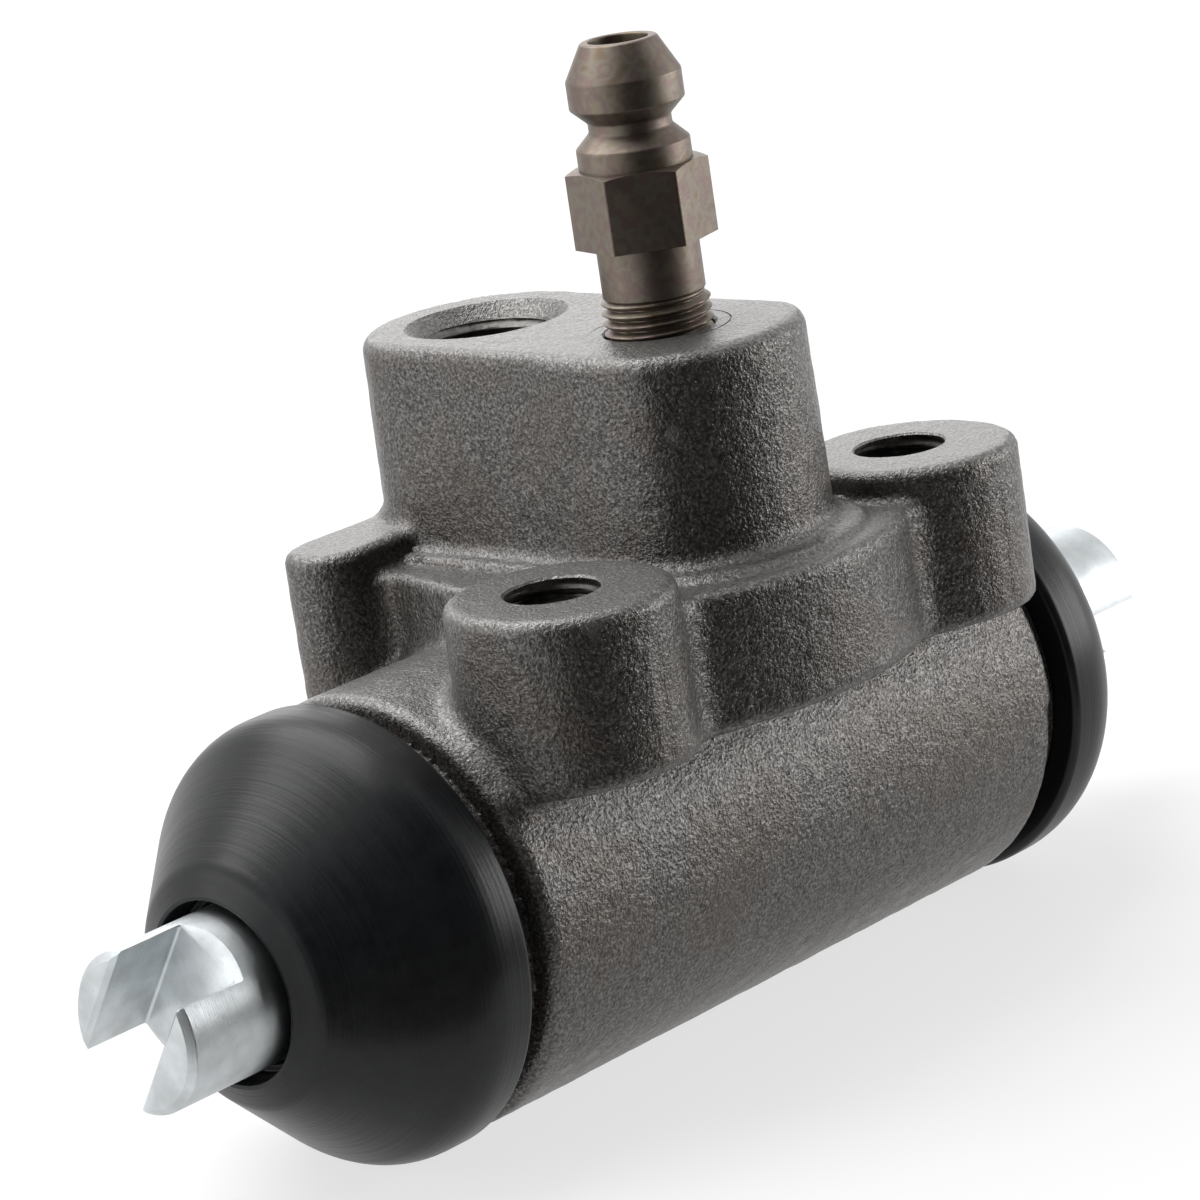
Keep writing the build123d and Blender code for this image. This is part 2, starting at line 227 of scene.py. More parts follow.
def threaded(name, core, crest, pitch, length, place, segments=72, per_pitch=10, runout=0.0):
    """A threaded rod up local Z. The thread fades over runout at its top."""
    count = int(round(length / pitch * per_pitch))
    points, faces = [], []
    for i in range(count + 1):
        z = length * i / count
        fade = 1.0 if runout == 0 else min(1.0, (length - z) / runout)
        for k in range(segments):
            phase = (z / pitch - k / segments) % 1.0
            tooth = min(1.0, max(0.0, tooth_top - abs(phase - 0.5) * tooth_slope))
            radius = core + (crest - core) * tooth * fade
            turn = 2 * pi * k / segments
            points.append(place @ Vector((radius * cos(turn), radius * sin(turn), z)))
    for i in range(count):
        for k in range(segments):
            m = (k + 1) % segments
            a, b = i * segments, (i + 1) * segments
            faces.append((a + k, a + m, b + m, b + k))
    faces.append(tuple(range(segments)))
    faces.append(tuple(range(count * segments, (count + 1) * segments)))
    return mesh_piece(name, points, faces)


def upright(x, y, z=0.0):
    """A place whose local Z points up."""
    return Matrix.Translation((x, y, z))


def along_bore(side):
    """A place on the bore axis whose local Z points out of the bore at that side."""
    return Matrix.Translation((0, bore_y, bore_z)) @ Matrix.Rotation(side * pi / 2, 4, "Y")


def apply_boolean(piece, other, operation):
    """Cuts or joins the other piece, which is used up."""
    modifier = piece.modifiers.new("boolean", "BOOLEAN")
    modifier.operation = operation
    modifier.solver = "MANIFOLD"
    modifier.object = other
    depsgraph = bpy.context.evaluated_depsgraph_get()
    result = bpy.data.meshes.new_from_object(piece.evaluated_get(depsgraph))
    piece.modifiers.clear()
    piece.data = result
    bpy.data.objects.remove(other)
    if len(result.polygons) == 0:
        raise ValueError(f"the boolean on {piece.name} left nothing")


def smooth(piece, sharp_angle=35):
    piece.data.shade_smooth()
    piece.data.set_sharp_from_angle(angle=radians(sharp_angle))


def paint(piece, *materials):
    piece.data.materials.clear()
    for material in materials:
        piece.data.materials.append(material)


def finish_piece(piece, body, node):
    """Hides the node that a piece stands in for, and hangs the piece on one body."""
    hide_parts(node)
    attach(piece, body)


def stretch(piece):
    """Bakes the piece's place into its mesh."""
    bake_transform(piece)


# Distance fields: negative inside, in millimetres

def round_union(a, b, radius):
    """Joins two fields with a fillet."""
    u, v = np.maximum(radius - a, 0), np.maximum(radius - b, 0)
    return np.maximum(radius, np.minimum(a, b)) - np.sqrt(u * u + v * v)


def round_meet(a, b, radius):
    """Keeps what two fields share, with a rounded edge."""
    u, v = np.maximum(radius + a, 0), np.maximum(radius + b, 0)
    return np.minimum(-radius, np.maximum(a, b)) + np.sqrt(u * u + v * v)


def disc(x, y, cx, cy, radius):
    return np.sqrt((x - cx) ** 2 + (y - cy) ** 2) - radius


def slot_plan(x, y, cx, cy, reach_x, reach_y, radius):
    """A round-ended slot about a centre."""
    u = np.maximum(np.abs(x - cx) - reach_x, 0)
    v = np.maximum(np.abs(y - cy) - reach_y, 0)
    return np.sqrt(u * u + v * v) - radius


def boss_plan(x, y, z):
    """Flat-sided oblong that widens downwards by its draft."""
    past_ports = np.abs(y - (inlet_y + bleeder_y) / 2) - (inlet_y - bleeder_y) / 2
    between = np.maximum(np.abs(x) - boss_half_width, past_ports)
    ends = np.minimum(disc(x, y, 0, inlet_y, inlet_end_radius), disc(x, y, 0, bleeder_y, bleeder_end_radius))
    plan = round_meet(np.minimum(between, ends), np.abs(x) - boss_half_width, boss_crease)
    return plan - tan(radians(boss_draft)) * (boss_height - z)


def pads_plan(x, y):
    return slot_plan(np.abs(x), y, bolt_x, pad_y, 0, pad_half_stretch, pad_radius)


def fingers_plan(x, y):
    return slot_plan(x, y, 0, finger_y, finger_reach, 0, finger_radius)


def platform_plan(x, y):
    lobes = np.maximum(disc(x, y, 0, bore_y, lobe_radius), np.abs(x) - lobe_half_width)
    plan = round_union(lobes, disc(x, y, 0, bore_y, core_radius), plan_corner)
    plan = round_union(plan, pads_plan(x, y), plan_corner)
    return round_union(plan, fingers_plan(x, y), plan_corner)


def casting(x, y, z):
    """The casting before machining."""
    boss = round_meet(boss_plan(x, y, z), z - boss_height, boss_edge)
    pilot = round_meet(boss_plan(x, y, pilot_z) - pilot_margin, z - pilot_z, pilot_edge)
    platform = platform_plan(x, y)
    ledge = round_meet(platform, z - ledge_z, ledge_edge)
    seats = round_meet(np.minimum(pads_plan(x, y), fingers_plan(x, y)), z, pad_edge)
    across = y - bore_y
    up = z - bore_z
    slope = radians(underside_angle)
    underside = (underside_rise + tan(slope) * np.abs(across) - up) * cos(slope)
    top = round_union(ledge, seats, np.clip(-platform, *seat_fillets))
    top = round_union(top, pilot, pilot_fillet)
    top = round_union(top, boss, foot_fillet)
    top = round_meet(top, underside, under_edge)
    out = np.sqrt(across * across + up * up)
    half_length = barrel_half_length - end_step * np.clip(-up / end_step_run, 0, 1) * (x > 0)
    barrel = round_meet(out - barrel_radius, np.abs(x) - half_length, barrel_edge)
    spigots = round_meet(out - spigot_radius, np.abs(x) - spigot_end, spigot_edge)
    return np.minimum(round_union(top, barrel, under_fillet), spigots)


def surface_net(distance, low, high, step):
    """Points and quads of the surface where distance is zero, from the cells that it crosses."""
    axes = [np.arange(a, b + step, step) for a, b in zip(low, high)]
    grid = np.ix_(*axes)
    inside = distance(*grid) < 0
    cells = np.zeros([len(a) - 1 for a in axes], int)
    for i in (0, 1):
        for j in (0, 1):
            for k in (0, 1):
                cells += inside[i:i + cells.shape[0], j:j + cells.shape[1], k:k + cells.shape[2]]
    crossed = (cells > 0) & (cells < 8)
    index = np.full(cells.shape, -1)
    index[crossed] = np.arange(crossed.sum())
    points = np.stack([axes[a][at] + step / 2 for a, at in enumerate(np.nonzero(crossed))], axis=1)
    for _ in range(net_pulls):
        points -= distance(*points.T)[:, None] * normals_of(distance, points)
    quads = []
    for axis in range(3):
        ahead, u, v = np.roll(np.eye(3, dtype=int), -axis, axis=0)
        near = inside[tuple(slice(0, count - shift) for count, shift in zip(inside.shape, ahead))]
        far = inside[tuple(slice(shift, None) for shift in ahead)]
        at = np.argwhere(near != far)
        around = [index[tuple((at - shift).T)] for shift in (u + v, v, 0 * u, u)]
        quad = np.stack(around, axis=1)
        outwards = near[tuple(at.T)]
        quads.append(np.where(outwards[:, None], quad, quad[:, ::-1]))
    return points, np.concatenate(quads)


def normals_of(distance, points):
    gradient = np.empty_like(points)
    for axis in range(3):
        step = np.zeros(3)
        step[axis] = normal_step
        gradient[:, axis] = distance(*(points + step).T) - distance(*(points - step).T)
    return gradient / np.maximum(np.linalg.norm(gradient, axis=1), 1e-9)[:, None]


def cut(piece, cutter):
    apply_boolean(piece, cutter, "DIFFERENCE")


def cone_end(radius, depth):
    """Profile of a drilled hole from over its mouth down to its drill point."""
    return [(over, 0), (over, radius), (-depth, radius), (-depth - drill_slope * radius, 0)]


def raw_casting():
    """The casting as it left the sand, kept inside the body's box."""
    points, quads = surface_net(casting, body_low - net_margin, body_high + net_margin, net_step)
    lift = np.array([
        noise.noise(Vector(p) * swell_coarse) + swell_fine_share * noise.noise(Vector(p) * swell_fine)
        for p in points
    ])
    points += normals_of(casting, points) * (lift * swell)[:, None]
    points = np.clip(points, body_low, body_high)
    mesh = bpy.data.meshes.new("casting")
    mesh.from_pydata(metres(points), [], quads.tolist())
    return add_object("casting", mesh)


def cut_bore(piece):
    """Bore with chamfered mouths, and a groove for each boot's bead."""
    reach = spigot_end + over
    mouth = bore_radius + bore_chamfer + over
    start = spigot_end - bore_chamfer
    bore = [
        (-reach, 0),
        (-reach, mouth),
        (-start, bore_radius),
        (start, bore_radius),
        (reach, mouth),
        (reach, 0),
    ]
    cut(piece, turned("bore", bore, along_bore(1), 160))
    start, end, radius = boot_groove
    outside = spigot_radius + over
    ring = [(start, radius), (end, radius), (end, outside), (start, outside)]
    for side in (-1, 1):
        cut(piece, turned("groove", ring, along_bore(side), 160))


def cut_bolt_holes(piece):
    mouth = [
        (over, 0),
        (over, bolt_core + over + bolt_mouth_drop),
        (-bolt_mouth_drop, bolt_core),
        (-bolt_thread_start, bolt_core),
        (-bolt_thread_start, 0),
    ]
    tap_length = bolt_depth - bolt_thread_foot
    for side in (-1, 1):
        spot = upright(side * bolt_x, 0)
        cut(piece, turned("mouth", mouth, spot, 72))
        tap_place = upright(side * bolt_x, 0, -bolt_depth)
        tap = threaded("tap", bolt_core, bolt_crest, bolt_pitch, tap_length, tap_place, runout=bolt_runout)
        cut(piece, tap)
        cut(piece, turned("point", cone_end(bolt_core - drill_play, bolt_depth), spot, 72))


def cut_inlet_port(piece):
    """Mouth, thread, pocket round the flare seat, and passage to the bore."""
    spot = upright(0, inlet_y, boss_height)
    thread_end = inlet_mouth_depth + inlet_thread_depth
    depth = thread_end + seat_drop + seat_height
    chamfer_end = inlet_mouth_depth + inlet_thread_chamfer
    mouth = rounded([
        (over, 0, 0),
        (over, inlet_mouth_radius + inlet_mouth_flare, 0),
        (-inlet_lip_drop, inlet_mouth_radius, inlet_lip_round),
        (-inlet_mouth_depth + inlet_foot_rise, inlet_crest, inlet_foot_round),
        (-chamfer_end, inlet_core, 0),
        (-chamfer_end, 0, 0),
    ])
    cut(piece, turned("mouth", mouth, spot, 144))
    tap_length = inlet_thread_depth + inlet_thread_chamfer
    tap_place = upright(0, inlet_y, boss_height - thread_end)
    cut(piece, threaded("tap", inlet_core, inlet_crest, inlet_pitch, tap_length, tap_place, 96))
    pocket = [
        (over - thread_end, 0),
        (over - thread_end, inlet_pocket_radius),
        (-depth, inlet_pocket_radius),
        (-depth, seat_radius),
        (-depth + seat_height, seat_tip_radius),
        (-depth + seat_height, 0),
    ]
    cut(piece, turned("pocket", pocket, spot, 96))
    down = boss_height - bore_z
    passage = [
        (over - thread_end, 0),
        (over - thread_end, passage_radius),
        (-down, passage_radius),
        (-down, 0),
    ]
    cut(piece, turned("passage", passage, spot, 32))


def cut_bleeder_port(piece):
    """Hole, seat cone and passage, and the shallow ring that a cutter left round them, deeper on one side."""
    spot = upright(0, bleeder_y, boss_height)
    down = boss_height - bore_z
    port = [
        (over, 0),
        (over, screw_hole_radius + over + screw_hole_chamfer),
        (-screw_hole_chamfer, screw_hole_radius),
        (-screw_hole_depth, screw_hole_radius),
        (-screw_hole_depth - (screw_hole_radius - passage_radius), passage_radius),
        (-down, passage_radius),
        (-down, 0),
    ]
    cut(piece, turned("port", port, spot, 96))
    outside = scribe_radius + scribe_width
    ring = [(over, scribe_radius), (-scribe_depth, scribe_radius), (-scribe_depth, outside), (over, outside)]
    cut(piece, turned("scribe", ring, spot @ Matrix.Rotation(radians(scribe_tilt), 4, "Y"), 96))


def build_casting():
    piece = raw_casting()
    cut_bore(piece)
    cut_bolt_holes(piece)
    cut_inlet_port(piece)
    cut_bleeder_port(piece)
    mark_machined(piece)
    smooth(piece, 38)
    finish_piece(piece, "housing", "cylinder_body")


def mark_machined(piece):
    """Gives the second material to faces cut by tools."""
    count = len(piece.data.polygons)
    centre = np.empty(count * 3)
    piece.data.polygons.foreach_get("center", centre)
    x, y, z = centre.reshape(-1, 3).T / MM
    mouth_foot = boss_height - inlet_mouth_depth - inlet_cast_below
    soft_mouth = (z > mouth_foot) & (disc(x, y, 0, inlet_y, inlet_crest) > 0)
    machined = (casting(x, y, z) < -skin_depth) & ~soft_mouth
    paint(piece, cast_iron(), machined_iron())
    piece.data.polygons.foreach_set("material_index", machined.astype(np.int32))


# Pistons
piston_radius = 11.07
land_length = 11.4
waist_radius, waist_length = 10.5, 4.4
nose_radius = 5.9
land_chamfer = 0.5
waist_round = 0.3
nose_chamfer, nose_edge = 0.5, 0.12
nose_root = 1.0
slot_width, slot_offset, slot_depth, slot_tilt = 6.0, 0.45, 5.8, 34.5
slot_foot_round, slot_edge_round = 0.25, 0.1
edge_break = 0.35  # taken off the slot's edges
right_piston_turn = 90.0


def build_piston(side):
    name = "piston_right" if side > 0 else "piston_left"
    land_end = piston_start + land_length
    waist_start = piston_start + (land_length - waist_length) / 2
    waist_end = waist_start + waist_length
    fall = piston_radius - waist_radius
    profile = rounded([
        (piston_start, 0, 0),
        (piston_start, piston_radius - land_chamfer, 0),
        (piston_start + land_chamfer, piston_radius, 0),
        (waist_start, piston_radius, 0),
        (waist_start + fall, waist_radius, waist_round),
        (waist_end - fall, waist_radius, waist_round),
        (waist_end, piston_radius, 0),
        (land_end - land_chamfer, piston_radius, 0),
        (land_end, piston_radius - land_chamfer, 0),
        (land_end, nose_radius, nose_root),
        (nose_end - nose_chamfer, nose_radius, nose_edge),
        (nose_end, nose_radius - nose_chamfer, nose_edge),
        (nose_end, 0, 0),
    ])
    piece = turned(name + "_turned", profile, along_bore(side), 144)
    cut(piece, slot_cutter(side))
    smooth(piece, 30)
    paint(piece, zinc_plate())
    finish_piece(piece, name, name)


def slot_cutter(side):
    """A milled slot across the nose, with small round corners at its foot and broken edges."""
    tilt = radians(slot_tilt + right_piston_turn * (side > 0))
    across = Vector((0, cos(tilt), sin(tilt)))
    tall = Vector((0, -sin(tilt), cos(tilt)))
    outwards = Vector((side, 0, 0))
    centre = Vector((side * nose_end, bore_y, bore_z)) + across * slot_offset
    reach = nose_radius + over
    points, faces = [], []
    edge = sqrt(nose_radius ** 2 - (slot_width / 2) ** 2) - edge_break
    for tall_place, flare in ((-reach, reach - edge), (-edge, 0), (edge, 0), (reach, reach - edge)):
        half = slot_width / 2 + flare
        foot = slot_depth + flare / 2
        outline = rounded([
            (-half - over - edge_break, over, 0),
            (-half, -edge_break, slot_edge_round),
            (-half, -foot, slot_foot_round),
            (half, -foot, slot_foot_round),
            (half, -edge_break, slot_edge_round),
            (half + over + edge_break, over, 0),
        ], 4)
        points += [centre + across * u + outwards * v + tall * tall_place for u, v in outline]
    count = len(outline)
    last = len(points) - count
    for low in range(0, last, count):
        high = low + count
        faces += [(low + k, low + (k + 1) % count, high + (k + 1) % count, high + k) for k in range(count)]
    faces += [tuple(range(count)), tuple(range(last, last + count))]
    return mesh_piece("slot", points, faces)


# Dust boots
boot_corner, boot_ridge = 34.6, 43.2
boot_wall = 1.8
boot_mouth = 7.0
boot_ridge_radius = 8.85
boot_corner_round, boot_ridge_round, boot_rim_round = 5.0, 2.6, 0.6
boot_edge, boot_mouth_edge, lip_edge, boot_inner_round = 0.2, 0.12, 0.3, 1.0
bead_overlap, bead_width = 0.15, 1.9
recess_radius, recess_depth = 6.7, 2.6
lip_radius, lip_width = 6.0, 1.3


def build_boot(side):
    name = "dust_boot_right" if side > 0 else "dust_boot_left"
    bead_radius = boot_groove[2] + bead_overlap
    bead_end = boot_start + bead_width
    inner = boot_radius - boot_wall
    slope = (boot_radius - boot_ridge_radius) / (boot_ridge - boot_corner)
    drop = boot_wall * sqrt(1 + slope * slope)
    inner_corner = boot_corner - (drop - boot_wall) / slope
    lip_end = boot_mouth_end - recess_depth
    lip_start = lip_end - lip_width
    profile = rounded([
        (boot_start, bead_radius, boot_edge),
        (bead_end, bead_radius, boot_edge),
        (bead_end, inner, 0),
        (inner_corner, inner, boot_inner_round),
        (lip_start, inner - slope * (lip_start - inner_corner), boot_edge),
        (lip_start, lip_radius, boot_edge),
        (lip_end, lip_radius, lip_edge),
        (lip_end, recess_radius, boot_edge),
        (boot_mouth_end, recess_radius, boot_mouth_edge),
        (boot_mouth_end, boot_mouth, boot_mouth_edge),
        (boot_ridge, boot_ridge_radius, boot_ridge_round),
        (boot_corner, boot_radius, boot_corner_round),
        (boot_start, boot_radius, boot_rim_round),
    ], 8)
    piece = turned(name + "_moulded", profile, along_bore(side), 192)
    smooth(piece, 50)
    paint(piece, boot_rubber())
    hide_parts(name)
    stretch(piece)


# Bleeder screw, heights above the boss
screw_core, screw_crest, screw_pitch = 3.5, 3.97, 0.75
screw_skin = 0.1  # how far the turned cores lie inside the thread's core
screw_runout = 0.4
thread_top, thread_lap = 2.45, 0.15
shank_radius, shank_chamfer, shank_round = 3.72, 0.2, 0.1
hex_bottom, hex_top, hex_flat = 6.4, 12.0, 4.5
hex_turn = 15.0
hex_fall_angle = 20.0
hex_edge = 0.3
hex_play = 0.02
hex_hollow = 3.9
collar_radius, collar_top, collar_lap = 4.1, 13.5, 0.1
neck_radius, neck_start, neck_end = 3.0, 14.6, 15.3
barb_radius, barb_start, barb_end = 4.15, 16.4, 18.4
collar_round, neck_round, barb_rounds, tip_rounds = 0.25, 0.4, (0.25, 0.35), (0.3, 0.15)
tip_radius, tip_height = 2.75, 21.0
mouth_radius, mouth_floor, mouth_cone_end = 2.15, 16.0, 15.0
flow_radius, flow_start, flow_foot = 1.1, 0.5, 1.5
cone_play, cone_lap, cone_length, cone_tip_radius = 0.1, 0.3, 1.8, 1.6


def build_bleeder():
    spot = upright(0, bleeder_y, boss_height)
    cone_start = -screw_hole_depth + cone_play
    core = screw_core - screw_skin
    profile = rounded([
        (flow_start, flow_radius, 0),
        (flow_start, core, 0),
        (thread_top, core, 0),
        (thread_top + shank_chamfer, shank_radius, shank_round),
        (hex_bottom + collar_lap, shank_radius, 0),
        (hex_bottom + collar_lap, collar_radius, 0),
        (collar_top, collar_radius, collar_round),
        (neck_start, neck_radius, neck_round),
        (neck_end, neck_radius, neck_round),
        (barb_start, barb_radius, barb_rounds[0]),
        (barb_end, barb_radius, barb_rounds[1]),
        (tip_height, tip_radius, tip_rounds[0]),
        (tip_height, mouth_radius, tip_rounds[1]),
        (mouth_floor, mouth_radius, 0),
        (mouth_cone_end, flow_radius, 0),
    ])
    piece = turned("bleeder_upper", profile, spot, 128)
    place = upright(0, bleeder_y, boss_height + cone_start)
    length = thread_top + thread_lap - cone_start
    rod = threaded("rod", screw_core, screw_crest, screw_pitch, length, place, 96, 12, screw_runout)
    bore = [(flow_foot, 0), (flow_foot, flow_radius), (length + over, flow_radius), (length + over, 0)]
    cut(rod, turned("bore", bore, place, 48))
    apply_boolean(piece, rod, "UNION")
    tip = [
        (cone_start + cone_lap, 0),
        (cone_start + cone_lap, core),
        (cone_start, core),
        (cone_start - cone_length, cone_tip_radius),
        (cone_start - cone_length, 0),
    ]
    apply_boolean(piece, turned("tip", tip, spot, 96), "UNION")
    apply_boolean(piece, hexagon(spot), "UNION")
    smooth(piece, 30)
    paint(piece, olive_chromate())
    finish_piece(piece, "bleeder", "bleeder_screw")


def hexagon(spot):
    """Hexagon with its upper corners turned down, hollow for the collar."""
    corner = hex_flat / cos(pi / 6)
    fall = (corner - hex_flat) * tan(radians(hex_fall_angle))
    turns = [radians(hex_turn + 60 * k) for k in range(6)]
    outline = rounded([(corner * cos(turn), corner * sin(turn), hex_edge) for turn in turns], 4)
    count = len(outline)
    points = [spot @ Vector((x, y, z)) for z in (hex_bottom, hex_top) for x, y in outline]
    faces = [tuple(range(count)), tuple(range(count, 2 * count))]
    faces += [(k, (k + 1) % count, (k + 1) % count + count, k + count) for k in range(count)]
    prism = mesh_piece("prism", points, faces)
    cap = [
        (hex_bottom - over, 0),
        (hex_bottom - over, corner + hex_play),
        (hex_top - fall, corner + hex_play),
        (hex_top + hex_play / 2, hex_flat),
        (hex_top + hex_play / 2, 0),
    ]
    apply_boolean(prism, turned("cap", cap, spot, 144), "INTERSECT")
    hollow = [
        (hex_bottom - over, 0),
        (hex_bottom - over, hex_hollow),
        (hex_top + over, hex_hollow),
        (hex_top + over, 0),
    ]
    cut(prism, turned("hollow", hollow, spot, 96))
    return prism


# Return spring, in two halves
spring_wire = 0.6
spring_radius = 6.4
spring_turns = 6
spring_sides, spring_steps = 12, 48  # facets round the wire, and places along a turn


def build_spring_half(side):
    """Half the coil, from the middle to one end."""
    reach = spring_reach - spring_wire
    count = spring_turns * spring_steps // 2
    points, faces = [], []
    for i in range(count + 1):
        share = i / count
        turn = side * pi * spring_turns * share
        out = Vector((0, cos(turn), sin(turn)))
        centre = Vector((side * reach * share, bore_y, bore_z)) + out * spring_radius
        for k in range(spring_sides):
            angle = 2 * pi * k / spring_sides
            points.append(centre + (out * cos(angle) + Vector((1, 0, 0)) * sin(angle)) * spring_wire)
    for i in range(count):
        for k in range(spring_sides):
            m = (k + 1) % spring_sides
            a, b = i * spring_sides, (i + 1) * spring_sides
            faces.append((a + k, a + m, b + m, b + k))
    faces.append(tuple(range(spring_sides)))
    faces.append(tuple(range(count * spring_sides, (count + 1) * spring_sides)))
    name = "spring_half_right" if side > 0 else "spring_half_left"
    piece = mesh_piece(name, points, faces)
    smooth(piece, 60)
    paint(piece, spring_steel())
    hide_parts("return_spring")
    stretch(piece)


# Materials

def new_material(name):
    """An empty principled material with the coordinates of the part, in metres."""
    material = bpy.data.materials.new(name)
    material.use_nodes = True
    nodes = material.node_tree.nodes
    shader = nodes["Principled BSDF"]
    place = nodes.new("ShaderNodeTexCoord")
    return material, nodes, material.node_tree.links, shader, place.outputs["Object"]


def noise_node(nodes, links, place, size, detail=2.0, rough=0.5):
    """Noise whose grains are about size millimetres."""
    node = nodes.new("ShaderNodeTexNoise")
    node.inputs["Scale"].default_value = 1 / (size * MM)
    node.inputs["Detail"].default_value = detail
    node.inputs["Roughness"].default_value = rough
    links.new(place, node.inputs["Vector"])
    return node.outputs["Fac"]


def ramp_node(nodes, links, value, *stops):
    """A colour ramp through (position, colour) stops."""
    node = nodes.new("ShaderNodeValToRGB")
    ramp = node.color_ramp
    ramp.elements[0].position, ramp.elements[0].color = stops[0][0], (*stops[0][1], 1)
    ramp.elements[1].position, ramp.elements[1].color = stops[-1][0], (*stops[-1][1], 1)
    for position, colour in stops[1:-1]:
        ramp.elements.new(position).color = (*colour, 1)
    links.new(value, node.inputs["Fac"])
    return node.outputs["Color"]


def range_node(nodes, links, value, low, high, start=0.0, end=1.0):
    node = nodes.new("ShaderNodeMapRange")
    node.inputs["From Min"].default_value = start
    node.inputs["From Max"].default_value = end
    node.inputs["To Min"].default_value = low
    node.inputs["To Max"].default_value = high
    links.new(value, node.inputs["Value"])
    return node.outputs["Result"]


def mix_node(nodes, links, share, a, b, blend="MIX"):
    """Mixes two colours, which may be sockets or plain values."""
    node = nodes.new("ShaderNodeMix")
    node.data_type = "RGBA"
    node.blend_type = blend
    for socket, value in ((node.inputs[0], share), (node.inputs[6], a), (node.inputs[7], b)):
        if isinstance(value, bpy.types.NodeSocket):
            links.new(value, socket)
        elif isinstance(value, tuple):
            socket.default_value = (*value, 1)
        else:
            socket.default_value = value
    return node.outputs[2]


def math_node(nodes, links, operation, a, b):
    node = nodes.new("ShaderNodeMath")
    node.operation = operation
    links.new(a, node.inputs[0])
    links.new(b, node.inputs[1])
    return node.outputs[0]


def stretched(nodes, links, place, *scale):
    """The part's coordinates, drawn out along the axes with a small scale."""
    node = nodes.new("ShaderNodeMapping")
    node.inputs["Scale"].default_value = scale
    links.new(place, node.inputs["Vector"])
    return node.outputs["Vector"]


def bump_node(nodes, links, height, distance, strength=1.0, normal=None):
    """A bump of the given height in millimetres, on top of an earlier one."""
    node = nodes.new("ShaderNodeBump")
    node.inputs["Distance"].default_value = distance * MM
    node.inputs["Strength"].default_value = strength
    links.new(height, node.inputs["Height"])
    if normal is not None:
        links.new(normal, node.inputs["Normal"])
    return node.outputs["Normal"]


def worn_edges(nodes, links, low, high):
    """Goes from 0 to 1 where the surface turns outwards sharply."""
    node = nodes.new("ShaderNodeNewGeometry")
    return range_node(nodes, links, node.outputs["Pointiness"], 0.0, 1.0, low, high)


def cast_iron():
    """Phosphated sand casting: grainy dark grey with brown patches, lighter on edges, and lighter on top from
    dust and painted top light.
    """
    material, nodes, links, shader, place = new_material("cast_iron")
    grain = noise_node(nodes, links, place, 0.25, 2.0, 0.6)
    speckle = noise_node(nodes, links, place, 0.13, 1.0)
    patches = noise_node(nodes, links, place, 7.0, 3.0)
    dark, mid, light = (0.03, 0.0275, 0.0255), (0.095, 0.0895, 0.085), (0.235, 0.226, 0.217)
    colour = ramp_node(nodes, links, grain, (0.3, dark), (0.5, mid), (0.74, light))
    rusty = range_node(nodes, links, patches, 0.0, 0.4, 0.45, 0.7)
    brown = mix_node(nodes, links, rusty, colour, (0.098, 0.077, 0.062))
    flecks = range_node(nodes, links, speckle, 0.0, 0.6, 0.66, 0.8)
    colour = mix_node(nodes, links, flecks, brown, (0.28, 0.266, 0.245))
    pits = range_node(nodes, links, speckle, 0.0, 0.7, 0.36, 0.24)
    colour = mix_node(nodes, links, pits, colour, (0.03, 0.027, 0.025))
    edges = worn_edges(nodes, links, 0.52, 0.6)
    colour = mix_node(nodes, links, edges, colour, (0.17, 0.166, 0.16))
    facing = nodes.new("ShaderNodeNewGeometry")
    upwards = nodes.new("ShaderNodeSeparateXYZ")
    links.new(facing.outputs["Normal"], upwards.inputs[0])
    # Faces turned upwards get a lighter grey and less metal: partly dust, partly painted light falling from
    # above.
    dust = range_node(nodes, links, upwards.outputs["Z"], 0.0, 0.6, 0.2, 0.95)
    dust_and_top_light_colour = ramp_node(nodes, links, grain, (0.3, (0.12, 0.117, 0.114)), (0.72, (0.36, 0.353, 0.344)))
    colour = mix_node(nodes, links, dust, colour, dust_and_top_light_colour)
    links.new(colour, shader.inputs["Base Color"])
    links.new(range_node(nodes, links, dust, 0.8, 0.25), shader.inputs["Metallic"])
    links.new(range_node(nodes, links, speckle, 0.26, 0.44), shader.inputs["Roughness"])
    coarse = bump_node(nodes, links, noise_node(nodes, links, place, 1.1, 2.0), 0.12)
    fine = bump_node(nodes, links, grain, 0.11, 1.0, coarse)
    links.new(bump_node(nodes, links, speckle, 0.035, 1.0, fine), shader.inputs["Normal"])
    return material


def machined_iron():
    """Bare cut iron inside the holes and the bore."""
    material, nodes, links, shader, place = new_material("machined_iron")
    grain = noise_node(nodes, links, place, 0.5, 3.0)
    colour = ramp_node(nodes, links, grain, (0.25, (0.06, 0.057, 0.053)), (0.75, (0.17, 0.163, 0.155)))
    links.new(colour, shader.inputs["Base Color"])
    shader.inputs["Metallic"].default_value = 0.75
    links.new(range_node(nodes, links, grain, 0.28, 0.48), shader.inputs["Roughness"])
    links.new(bump_node(nodes, links, grain, 0.02), shader.inputs["Normal"])
    return material


